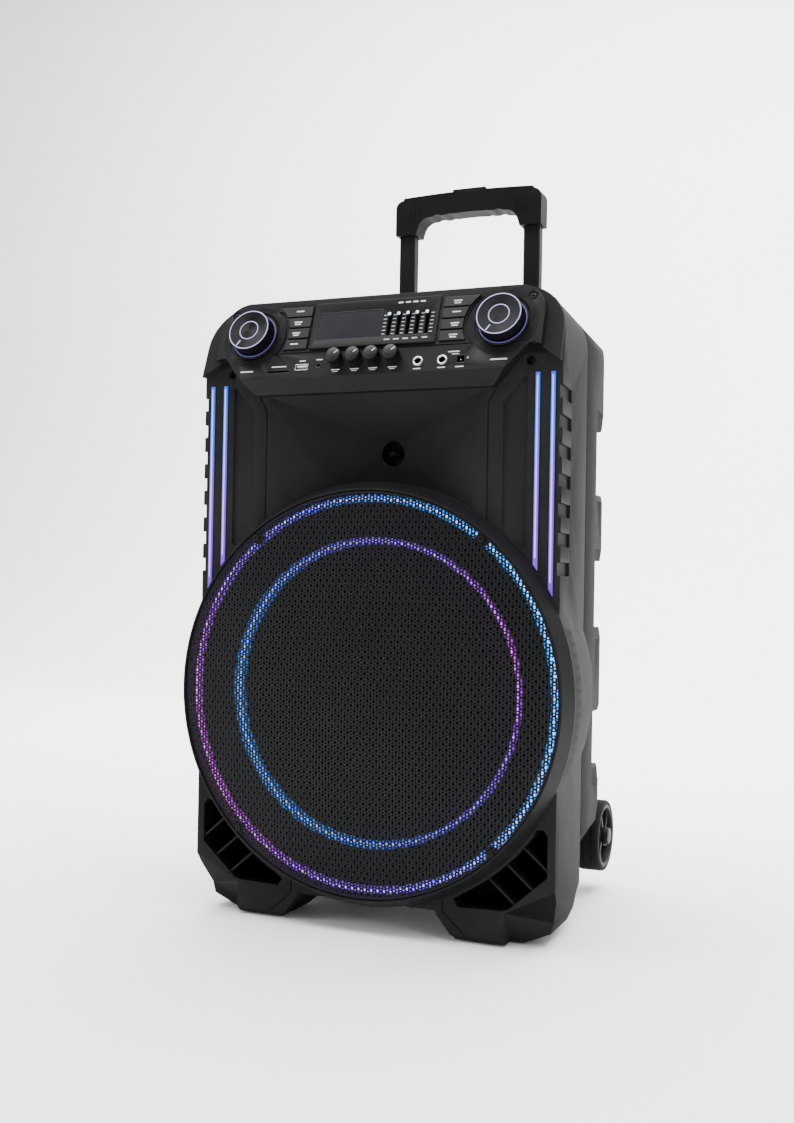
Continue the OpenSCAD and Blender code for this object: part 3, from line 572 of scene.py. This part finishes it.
# ---------------------------------------------------------------- grille
GRILLE_R = 203.0
CROWN_Y = (corner("grille")[0].y - RING.y) / MM
RIM_Y = 3.0
CELL = (6.9, 10.7)                  # the hole pattern repeats, staggered, over this width and height
SLOT_TOP, SLOT_SIDE = 1.9, (1.1, 0.95)
DOT_R = 1.3
SHEET = 1.0


def dome_y(r):
    """Depth of the sheet's front at a radius, mm behind the grille's front plane."""
    return CROWN_Y + (RIM_Y - CROWN_Y) * (r / GRILLE_R) ** 2


def grille_mesh():
    """Perforated sheet: six-sided slots on a staggered lattice, and small three-sided holes between them.
    A slot's corners run counter-clockwise from its top: 0 top, 1 and 2 left, 3 bottom, 4 and 5 right."""
    bm = bmesh.new()
    half_w, half_h = CELL[0] / 2, CELL[1] / 2
    edge_r = GRILLE_R - 0.6
    sx, sz = SLOT_SIDE
    slot_shape = [(0, SLOT_TOP), (-sx, sz), (-sx, -sz), (0, -SLOT_TOP), (sx, -sz), (sx, sz)]

    def pair(x, z):
        """The sheet's front and back vertex at one place; past the edge it is drawn back onto it."""
        r = math.hypot(x, z)
        if r > edge_r:
            x, z, r = x * edge_r / r, z * edge_r / r, edge_r
        return bm.verts.new(at_ring(x, dome_y(r), z)), bm.verts.new(at_ring(x, dome_y(r) + SHEET, z))

    def facet(*pairs):
        bm.faces.new([p[0] for p in pairs])
        bm.faces.new([p[1] for p in reversed(pairs)])

    def wall(loop):
        for p, q in zip(loop, loop[1:] + loop[:1]):
            bm.faces.new((p[0], q[0], q[1], p[1]))

    slots = {}
    columns, rows = int(GRILLE_R / half_w) + 2, int(GRILLE_R / half_h) + 2
    for i in range(-columns, columns + 1):
        for j in range(-rows, rows + 1):
            if (i + j) % 2 == 0 and math.hypot(i * half_w, j * half_h) < GRILLE_R + 1.5:
                slots[i, j] = [pair(i * half_w + x, j * half_h + z) for x, z in slot_shape]
                wall(slots[i, j])

    def holes(side):
        """Small holes above (side 1) or below (side -1) each slot: outward tip, then the other two."""
        found = {}
        for i, j in slots:
            if (i + 1, j + side) in slots and (i - 1, j + side) in slots:
                x, z = i * half_w, j * half_h + side * CELL[1] / 3
                found[i, j] = [pair(x + DOT_R * math.cos(t), z + side * DOT_R * math.sin(t))
                               for t in (math.pi / 2, math.pi * 7 / 6, math.pi * 11 / 6)]
                wall(found[i, j])
        return found

    above, below = holes(1), holes(-1)
    for (i, j), s in slots.items():
        right, up_right, up_left = slots.get((i + 2, j)), slots.get((i + 1, j + 1)), slots.get((i - 1, j + 1))
        if right:
            facet(s[5], s[4], right[2], right[1])
            if (i + 1, j + 1) in below:
                facet(s[5], right[1], below[i + 1, j + 1][0])
            if (i + 1, j - 1) in above:
                facet(s[4], above[i + 1, j - 1][0], right[2])
        if up_right:
            facet(s[0], s[5], up_right[3], up_right[2])
            if (i, j) in above:
                facet(s[0], up_right[2], above[i, j][2])
            if (i + 1, j + 1) in below:
                facet(s[5], below[i + 1, j + 1][1], up_right[3])
        if up_left:
            facet(s[1], s[0], up_left[4], up_left[3])
            if (i, j) in above:
                facet(s[0], above[i, j][1], up_left[4])
            if (i - 1, j + 1) in below:
                facet(s[1], up_left[3], below[i - 1, j + 1][2])
        if (i, j) in above:
            tip, left, low = above[i, j]
            facet(s[0], low, left)
            facet(up_right[2], tip, low)
            facet(up_left[4], left, tip)
        if (i, j) in below:
            tip, left, low = below[i, j]
            facet(s[3], left, low)
            facet(slots[i + 1, j - 1][1], low, tip)
            facet(slots[i - 1, j - 1][5], tip, left)
    return bm


grille = add_object("grille_sheet", grille_mesh(), M["grille"], smooth=25)
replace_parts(grille, "grille")
hem = bmesh.new()
tube_ring(hem, [(200.6, -4.1), (200.7, -2.6), (201.2, -2.15), (202.3, -2.1), (202.9, -2.7), (203.0, -4.1)],
          180)
add_object("grille_hem", hem, M["grille"], matrix=AXIS_OUT)


def lamp_ring(name, node, start, end, back, glow_name):
    """A lit strip behind the grille: a sloping band from start to end, brighter along its middle.
    start and end are (radius, distance forward of the grille's front plane) in mm."""
    def along(t, lift=0.0):
        n = math.hypot(end[0] - start[0], end[1] - start[1])
        out = (-(end[1] - start[1]) / n, (end[0] - start[0]) / n)
        return tuple(start[i] + (end[i] - start[i]) * t + lift * out[i] for i in (0, 1))

    bm = bmesh.new()
    tube_ring(bm, [(start[0], back), along(0), along(1), (end[0], back)], 240)
    tube_ring(bm, [along(0.3, 0.02), along(0.4, 0.4), along(0.6, 0.4), along(0.7, 0.02)], 240, 1)
    bm.transform(AXIS_OUT)
    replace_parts(add_object(name, bm, [M[glow_name], M[f"{glow_name}_core"]]), node)


lamp_ring("outer_lamp", "light_ring_outer", (192.2, -8.6), (199.6, -15.0), -17, "ring_outer")
lamp_ring("inner_lamp", "light_ring_inner", (150.2, -34.0), (157.2, -24.0), -36, "ring_inner")

screws("grille_screw_heads", "grille_screws",
       [facing(at_ring(s * x, 1.9, z), (0, -1, 0)) for x, z in ((122, 155), (137, -145)) for s in (1, -1)],
       3.4, 1.7, 1.1)


# ---------------------------------------------------------------- control panel
def knob(node, x):
    """Large rotary knob: knurled side, spun face, two lit lines and a lit pointer."""
    pointer_turn = math.radians(238)
    bm = bmesh.new()
    lathe(bm, [(21.0, 0.4), (22.1, 2.4), (23.0, 3.2), (23.0, 12.6), (22.7, 13.6), (22.7, 14.6),
               (22.4, 15.0), (21.5, 15.0), (21.4, 14.5), (20.4, 14.45), (10.9, 13.9), (10.7, 14.2),
               (9.9, 14.2), (9.7, 13.8), (1.0, 13.6)],
          240, [0, 0, 0, 0, 0, 0, 2, 1, 1, 1, 1, 2, 1, 1], 60, 0.7, (2, 3))
    pointer = bmesh.new()
    slab(pointer, round_outline(17.3, 0, 6.8, 0.9, 0.4), 14.0, 14.8, 2)
    pointer.transform(Matrix.Rotation(pointer_turn, 4, "Z"))
    add_part(bm, pointer)
    obj = add_object(f"{node}_turned", bm, [M["knurl"], M["spun"], M["knob_line"]], node, 30,
                     panel_matrix(x, 0, BIG_KNOB_V))
    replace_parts(obj, node)


def knob_surround(name, x):
    """Fixed parts round a large knob: a lit base ring, a dark collar, and thin rings on the panel."""
    bm = bmesh.new()
    tube_ring(bm, [(23.5, -0.9), (23.5, 1.3), (23.8, 1.6), (24.3, 1.6), (24.6, 1.3), (24.6, -0.9)], 120, 1)
    tube_ring(bm, [(24.7, -0.9), (24.7, 1.3), (24.9, 1.5), (25.6, 1.3), (26.2, 0.4), (26.2, -0.9)], 120, 0)
    for r in (29.4, 31.2, 33.2, 35.0):
        tube_ring(bm, [(r - 0.45, -0.02), (r - 0.3, 0.28), (r + 0.3, 0.28), (r + 0.45, -0.02)], 120, 2)
    return add_object(name, bm, [M["knurl"], M["knob_base"], M["trim"]], "cabinet", 30,
                      panel_matrix(x, 0, BIG_KNOB_V))


def small_knob(node):
    """Fluted knob with a metal face and a white line."""
    line_turn = math.radians(-52)
    bm = bmesh.new()
    lathe(bm, [(8.0, 0.5), (8.2, 0.9), (8.2, 1.8), (7.9, 2.2), (7.9, 10.4), (7.85, 11.2), (7.6, 11.9),
               (7.3, 12.3), (6.9, 12.5), (1.0, 12.35)],
          120, [0, 0, 0, 0, 0, 0, 0, 1, 1], 24, 0.75, (3, 4))
    slab(bm, round_outline(0, 4.2, 0.8, 4.6, 0.3, 2), 12.3, 12.5, 2)
    bm.transform(Matrix.Rotation(line_turn, 4, "Z"))
    place = panel_matrix(0, 0, 0)
    place.translation = joint_point(f"{node}_turn")
    obj = add_object(f"{node}_fluted", bm, [M["knurl"], M["cap_metal"], M["ink"]], node, 30,
                     place)
    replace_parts(obj, node)


knob("mic_knob", -BIG_KNOB_X)
knob("volume_knob", BIG_KNOB_X)
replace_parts(knob_surround("mic_surround", -BIG_KNOB_X), "knob_light_rings")
knob_surround("volume_surround", BIG_KNOB_X)
for i in range(1, 5):
    small_knob(f"small_knob_{i}")


def slider(node):
    """Slider cap with a small lit lens in the middle of its face."""
    cap = polish(node, M["button"], 0.35, body=node)
    to_panel = panel_matrix(0, 0, 0).inverted() @ cap.matrix_world
    points = [to_panel @ v.co for v in cap.data.vertices]
    top = max(p.z for p in points)
    face = [p for p in points if p.z > top - 0.2 * MM]
    x, v = (sum(p[axis] for p in face) / len(face) / MM for axis in (0, 1))
    bm = bmesh.new()
    lathe(bm, [(1.7, -0.3), (1.7, 0.1), (1.3, 0.35), (0.5, 0.45)], 24)
    add_object(f"{node}_lens", bm, M["cap"], node, 30, panel_matrix(x, -top / MM, v))


for i in range(1, 6):
    slider(f"eq_slider_{i}")


# ---------------------------------------------------------------- places on the panel, mm across and up
JACKS_X, JACK_V = (53.5, 79), 12
AUX_X, AUX_V = -55, 13
USB_X, USB_V = -74, 13.5
CARD_X, CARD_V = -100, 7.3
DC_X = 98
SMALL_KNOBS_X = (-35, -14, 6, 27)
BUTTONS_X, BUTTONS_V = 87, (37.5, 50.5, 63.3, 76.1)
BUTTON_FACE, PLATE_FACE = 1.6, 2.5          # heights above the panel


# ---------------------------------------------------------------- printed marks: dashes where captions are
def button_marks(dash):
    """One or two short dashes on each button."""
    for k, v in enumerate(BUTTONS_V):
        for side in (-1, 1):
            rows = 2 if (k + (side > 0)) % 3 else 1
            for row in range(rows):
                dash(side * BUTTONS_X, v + 1.3 - 2.6 * row, 9.0 - 2.0 * row, 1.3, BUTTON_FACE)


def plate_marks(dash):
    """Dashes above and under the sliders, and the scale lines between them."""
    for x in (17, 27, 37, 47, 57.5):
        dash(x, 37.2, 6.0, 1.2, PLATE_FACE)
    for x in (26, 34, 42, 50):
        dash(x, 79.0, 5.6, 1.6, PLATE_FACE)
    for x in (12, 22, 32, 42, 52.2, 62.6):
        for k in range(6):
            dash(x, 43.5 + 4.3 * k, 3.6, 0.6, PLATE_FACE)


def panel_marks(dash):
    """Dashes beside the knobs and sockets."""
    for x in SMALL_KNOBS_X:
        dash(x, 7.0, 9.5)
        dash(x, 5.0, 6.0, 0.8)
    for x in JACKS_X:
        dash(x, 3.6, 8.0)
    dash(DC_X, 3.6, 9.0)
    dash(CARD_X, 13.6, 17.0)
    dash(USB_X, 19.0, 7.0)
    dash(AUX_X, 19.6, 7.0)
    dash(90, 20.6, 12.0)
    dash(92, 17.9, 7.5, 0.8)
    dash(-BIG_KNOB_X - 1, 9.6, 15, 1.5)
    dash(BIG_KNOB_X + 1, 9.6, 17, 1.5)


def marks():
    bm = bmesh.new()
    thickness = 0.06

    def dash(x, v, w, h=1.1, raised=0.0):
        slab(bm, round_outline(x, v, w, h, h * 0.35, 2), raised, raised + thickness)

    button_marks(dash)
    plate_marks(dash)
    panel_marks(dash)
    add_object("printed_marks", bm, M["ink"], smooth=0, matrix=panel_matrix(0, 0, 0))


def power_lamp():
    bm = bmesh.new()
    lathe(bm, [(1.2, -0.2), (1.2, 0.3), (0.8, 0.75), (0.3, 0.9)], 16)
    add_object("power_lamp", bm, M["led"], matrix=panel_matrix(DC_X + 7.5, 0, 13))


marks()
power_lamp()


# ---------------------------------------------------------------- display
def display():
    """Dark lens with a rounded outline in a thin raised frame."""
    cx, cy = -27.5, 56.5
    w, h = 71, 32
    bm = bmesh.new()
    slab(bm, round_outline(cx, cy, w - 0.3, h - 0.3, 1.2), 0.5, 2.2)
    lens = add_object("display_lens", bm, M["lens"], matrix=panel_matrix(0, 0, 0))
    round_edges(lens, 0.3)
    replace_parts(lens, "display_window")
    bm = bmesh.new()
    outer = round_outline(cx, cy, w + 0.8, h + 0.8, 1.4)
    inner = round_outline(cx, cy, w - 0.5, h - 0.5, 1.2)
    rings = [[bm.verts.new((x * MM, y * MM, z * MM)) for x, y in loop]
             for loop, z in ((outer, 2.45), (outer, 2.56), (inner, 2.56), (inner, 1.6))]
    for a, b in zip(rings, rings[1:]):
        for i in range(len(a)):
            j = (i + 1) % len(a)
            bm.faces.new((a[i], a[j], b[j], b[i]))
    add_object("display_frame", bm, M["socket_black"], matrix=panel_matrix(0, 0, 0))


display()


# ---------------------------------------------------------------- sockets
def socket(name, node, x, v, profile, materials, mats):
    """A turned socket. materials gives each band's index, in the profile's order."""
    segments = 48
    bm = bmesh.new()
    tube_ring(bm, profile, segments)
    bm.faces.ensure_lookup_table()
    for k, index in enumerate(materials):
        for f in bm.faces[k * segments:(k + 1) * segments]:
            f.material_index = index
    obj = add_object(name, bm, mats, matrix=panel_matrix(x, 0, v))
    if node:
        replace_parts(obj, node)


def jack(k, x, node=None):
    """Quarter-inch jack: a nickel ring round a black bore with a closed end."""
    socket(f"jack_{k}", node, x, JACK_V,
           [(3.3, -26), (3.3, -1.5), (3.2, 0.2), (3.5, 0.7), (4.2, 1.0), (5.0, 0.8), (5.4, 0.2), (5.4, -0.3),
            (4.5, -0.4), (4.5, -20), (7.0, -20), (7.0, -26)],
           (1, 1, 0, 0, 0, 0, 0, 0, 1, 1, 1, 1), [M["nickel"], M["socket_black"]])
    bm = bmesh.new()
    lathe(bm, [(3.25, -27.5), (3.25, -26)], 32)
    add_object(f"jack_{k}_end", bm, M["socket_black"],
               matrix=panel_matrix(x, 0, JACK_V))


def socket_inserts():
    """The USB tongue, the contacts in the USB socket and card slot, and the pin of the DC inlet."""
    bm = bmesh.new()
    slab(bm, box_outline(USB_X, USB_V, 11, 1.8), -13.5, -1.0)
    add_object("usb_tongue", bm, M["ink"], matrix=panel_matrix(0, 0, 0))
    bm = bmesh.new()
    for k in range(4):
        slab(bm, box_outline(USB_X + (k - 1.5) * 2.3, USB_V - 1, 1.1, 0.3), -12, -1.6)
    for k in range(8):
        slab(bm, box_outline(CARD_X + (k - 3.5) * 2.5, CARD_V, 1.3, 0.3), -18, -2.5)
    add_object("contacts", bm, M["contact"], matrix=panel_matrix(0, 0, 0))
    bm = bmesh.new()
    lathe(bm, [(0.75, -9.5), (0.75, -1.6), (0.5, -1.2)], 16)
    add_object("dc_pin", bm, M["nickel"], matrix=panel_matrix(DC_X, 0, 12))


jack(1, JACKS_X[0], "jack_sockets")
jack(2, JACKS_X[1])
socket("aux_ring", "aux_socket", AUX_X, AUX_V,
       [(1.8, -13), (1.8, -0.2), (2.1, 0.3), (2.9, 0.4), (3.15, 0.1), (3.15, -4), (6.0, -4.4), (6.0, -13)],
       (1, 1, 0, 0, 0, 1, 1, 1), [M["socket_black"], M["socket_black"]])
dress("dc_socket", M["socket_black"])
dress("card_slot", M["socket_black"])
dress("usb_socket", M["nickel"])
socket_inserts()

# ---------------------------------------------------------------- screws
screws("panel_screw_heads", "panel_screws",
       [panel_matrix(s * 163, 2.0, 78) for s in (-1, 1)]
       + [facing(at_ring(s * 163.4, 25, 328), (0, -1, 0)) for s in (-1, 1)], 3.7, 1.9, 1.2)
BACK_Y = (corner("shell_screws")[1].y - RING.y) / MM
screws("shell_screw_heads", "shell_screws",
       [facing(at_ring(s * 132, BACK_Y - 2.0, z), (0, 1, 0))
        for s in (-1, 1) for z in (340, 210, 60, -60, -120)],
       4.5, 1.9, 1.2)


# ---------------------------------------------------------------- wheels
SPOKES = 5
SPOKE_REACH = (8.5, 31.5)


def spoke(start, sweep):
    """Outline of a curved spoke from the cap to the rim, narrower halfway."""
    left, right = [], []
    steps = 8
    inner, outer = SPOKE_REACH
    for k in range(steps + 1):
        t = k / steps
        r = inner + (outer - inner) * t
        a = start + sweep * t ** 1.4
        half = (3.6 - 1.6 * math.sin(math.pi * t)) / r
        left.append((r * math.cos(a + half), r * math.sin(a + half)))
        right.append((r * math.cos(a - half), r * math.sin(a - half)))
    return right + left[::-1]


def hub(side, sign, place):
    """Rim, sleeve, web and spokes in one piece, with a cap."""
    body = f"wheel_{side}"
    bm = bmesh.new()
    tube_ring(bm, [(31.0, -13.6), (30.6, -12.0), (30.6, 11.4), (31.2, 13.3), (33.2, 13.9), (35.0, 13.4),
                   (35.0, -13.6)], 96)
    tube_ring(bm, [(5.4, -13.8), (5.4, 12.4), (9.2, 12.4), (9.2, -13.8)], 48)
    tube_ring(bm, [(9.0, -5.0), (9.0, -2.0), (30.8, -2.0), (30.8, -5.0)], 72)
    for k in range(SPOKES):
        slab(bm, spoke(2 * math.pi * k / SPOKES + math.pi / 10, sign * 0.55), -9, 10.0)
    obj = add_object(f"hub_{side}_moulded", bm, M["hub"], body, 32, place)
    round_edges(obj, 0.6)
    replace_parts(obj, f"hub_{side}")
    bm = bmesh.new()
    lathe(bm, [(9.6, 11.4), (9.8, 13.4), (9.4, 15.4), (8.9, 17.3), (7.4, 18.0), (1.5, 18.0)], 64)
    add_object(f"hub_{side}_cap", bm, M["trim"], body, 30, place)


def tyre(side, place):
    """Rubber tread with two grooves, and a small bead on its outer side wall."""
    groove_depth = 1.0
    tread_r = 40.0
    profile = [(35.05, -13.8), (37.0, -14.0), (38.8, -13.4), (39.8, -11.8), (tread_r, -10.0)]
    for z in (-5.0, 5.0):
        profile += [(tread_r, z - 1.0), (tread_r - groove_depth, z - 0.7), (tread_r - groove_depth, z + 0.7),
                    (tread_r, z + 1.0)]
    profile += [(tread_r, 10.0), (39.8, 11.8), (38.8, 13.4), (37.6, 13.9), (37.3, 13.5), (36.7, 13.5),
                (36.4, 13.9), (35.05, 13.8)]
    bm = bmesh.new()
    tube_ring(bm, profile, 120)
    obj = add_object(f"tyre_{side}_moulded", bm, M["rubber"], f"wheel_{side}", 30, place)
    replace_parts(obj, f"tyre_{side}")


for side, sign in (("left", -1), ("right", 1)):
    wheel_place = facing(joint_point(f"wheel_{side}_spin"), (sign, 0, 0))
    hub(side, sign, wheel_place)
    tyre(side, wheel_place)


# ---------------------------------------------------------------- handle details
def grip_ribs():
    """Three short ribs at each end of the grip, front and back, each shorter than the one before."""
    first_x, pitch, width, proud = 62, 5.5, 1.8, 0.5
    lo, hi = corner("handle_grip")
    foot, top = hi.z / MM - 31, hi.z / MM - 13
    bm = bmesh.new()
    for s in (-1, 1):
        for k in range(3):
            for y in (lo.y / MM - proud / 2, hi.y / MM + proud / 2):
                slab(bm, box_outline(s * (first_x + pitch * k), y, width, proud), foot, top - 0.8 * k)
    obj = add_object("grip_ribs", bm, M["grip"], "handle", 30)
    round_edges(obj, 0.35)


grip_ribs()


# ---------------------------------------------------------------- floor, light and camera
def area(name, where, target, size, power):
    """A white rectangular lamp aimed at a point."""
    lamp = bpy.data.lights.new(name, "AREA")
    lamp.shape = "RECTANGLE"
    lamp.size, lamp.size_y = size
    lamp.energy = power
    obj = bpy.data.objects.new(name, lamp)
    obj.location = where
    obj.rotation_euler = (Vector(target) - Vector(where)).to_track_quat("-Z", "Y").to_euler()
    bpy.context.collection.objects.link(obj)


def build_floor():
    """A plain floor that curves up into a wall behind the object."""
    front_y, bend_y, bend_r, wall_top, half_w = -6.0, 2.2, 1.8, 7.0, 9
    steps = 24
    profile = [(front_y, 0.0)]
    for i in range(steps + 1):
        a = math.pi / 2 * i / steps
        profile.append((bend_y + bend_r * math.sin(a), bend_r * (1 - math.cos(a))))
    profile.append((bend_y + bend_r, wall_top))
    bm = bmesh.new()
    rows = [[bm.verts.new((x, y, z)) for x in (-half_w, half_w)] for y, z in profile]
    for a, b in zip(rows, rows[1:]):
        bm.faces.new((a[0], a[1], b[1], b[0]))
    mesh = bpy.data.meshes.new("floor")
    bm.to_mesh(mesh)
    bm.free()
    mesh.shade_smooth()
    mat, tree, bsdf = new_material("floor_pale")
    tree.links.new(mottled(tree, 2.0, (0.86, 0.86, 0.86), (0.88, 0.88, 0.88)), bsdf.inputs["Base Color"])
    bsdf.inputs["Roughness"].default_value = 0.7
    mesh.materials.append(mat)
    floor = bpy.data.objects.new("floor", mesh)
    bpy.context.collection.objects.link(floor)


def build_lights():
    """Soft white surroundings, two large lamps for the floor and wall, and two small ones for the object."""
    world = bpy.context.scene.world or bpy.data.worlds.new("world")
    bpy.context.scene.world = world
    world.use_nodes = True
    background = world.node_tree.nodes["Background"]
    background.inputs["Color"].default_value = (1, 1, 1, 1)
    background.inputs["Strength"].default_value = 0.6
    area("overhead", (0, 0.4, 3.4), (0, 0.4, 0), (5.0, 4.5), 620)
    area("backdrop", (0, 0.6, 2.8), (0, 4.0, 1.8), (5.0, 1.2), 430)
    area("key", (2.6, -1.6, 1.7), (0, 0, 0.35), (0.7, 1.8), 30)
    area("fill", (-2.4, -1.8, 1.2), (0, 0, 0.35), (0.7, 2.0), 34)


def build_camera():
    """The viewpoint: to the grille's right and a little above its centre, with a slight roll."""
    image_height, focal, sensor, roll = 1123, 1274.5, 36, 1.03        # pixels, pixels, mm, degrees
    where = at_ring(517, -1156, 116.6)
    target = at_ring(36.2, 0, 132.35)
    cam = bpy.data.cameras.new("camera")
    cam.sensor_fit = "AUTO"
    cam.sensor_width = sensor
    cam.lens = focal / image_height * sensor
    obj = bpy.data.objects.new("camera", cam)
    turn = (target - where).to_track_quat("-Z", "Y").to_matrix().to_4x4()
    obj.matrix_world = Matrix.Translation(where) @ turn @ Matrix.Rotation(math.radians(roll), 4, "Z")
    bpy.context.collection.objects.link(obj)
    bpy.context.scene.camera = obj


build_floor()
build_lights()
build_camera()
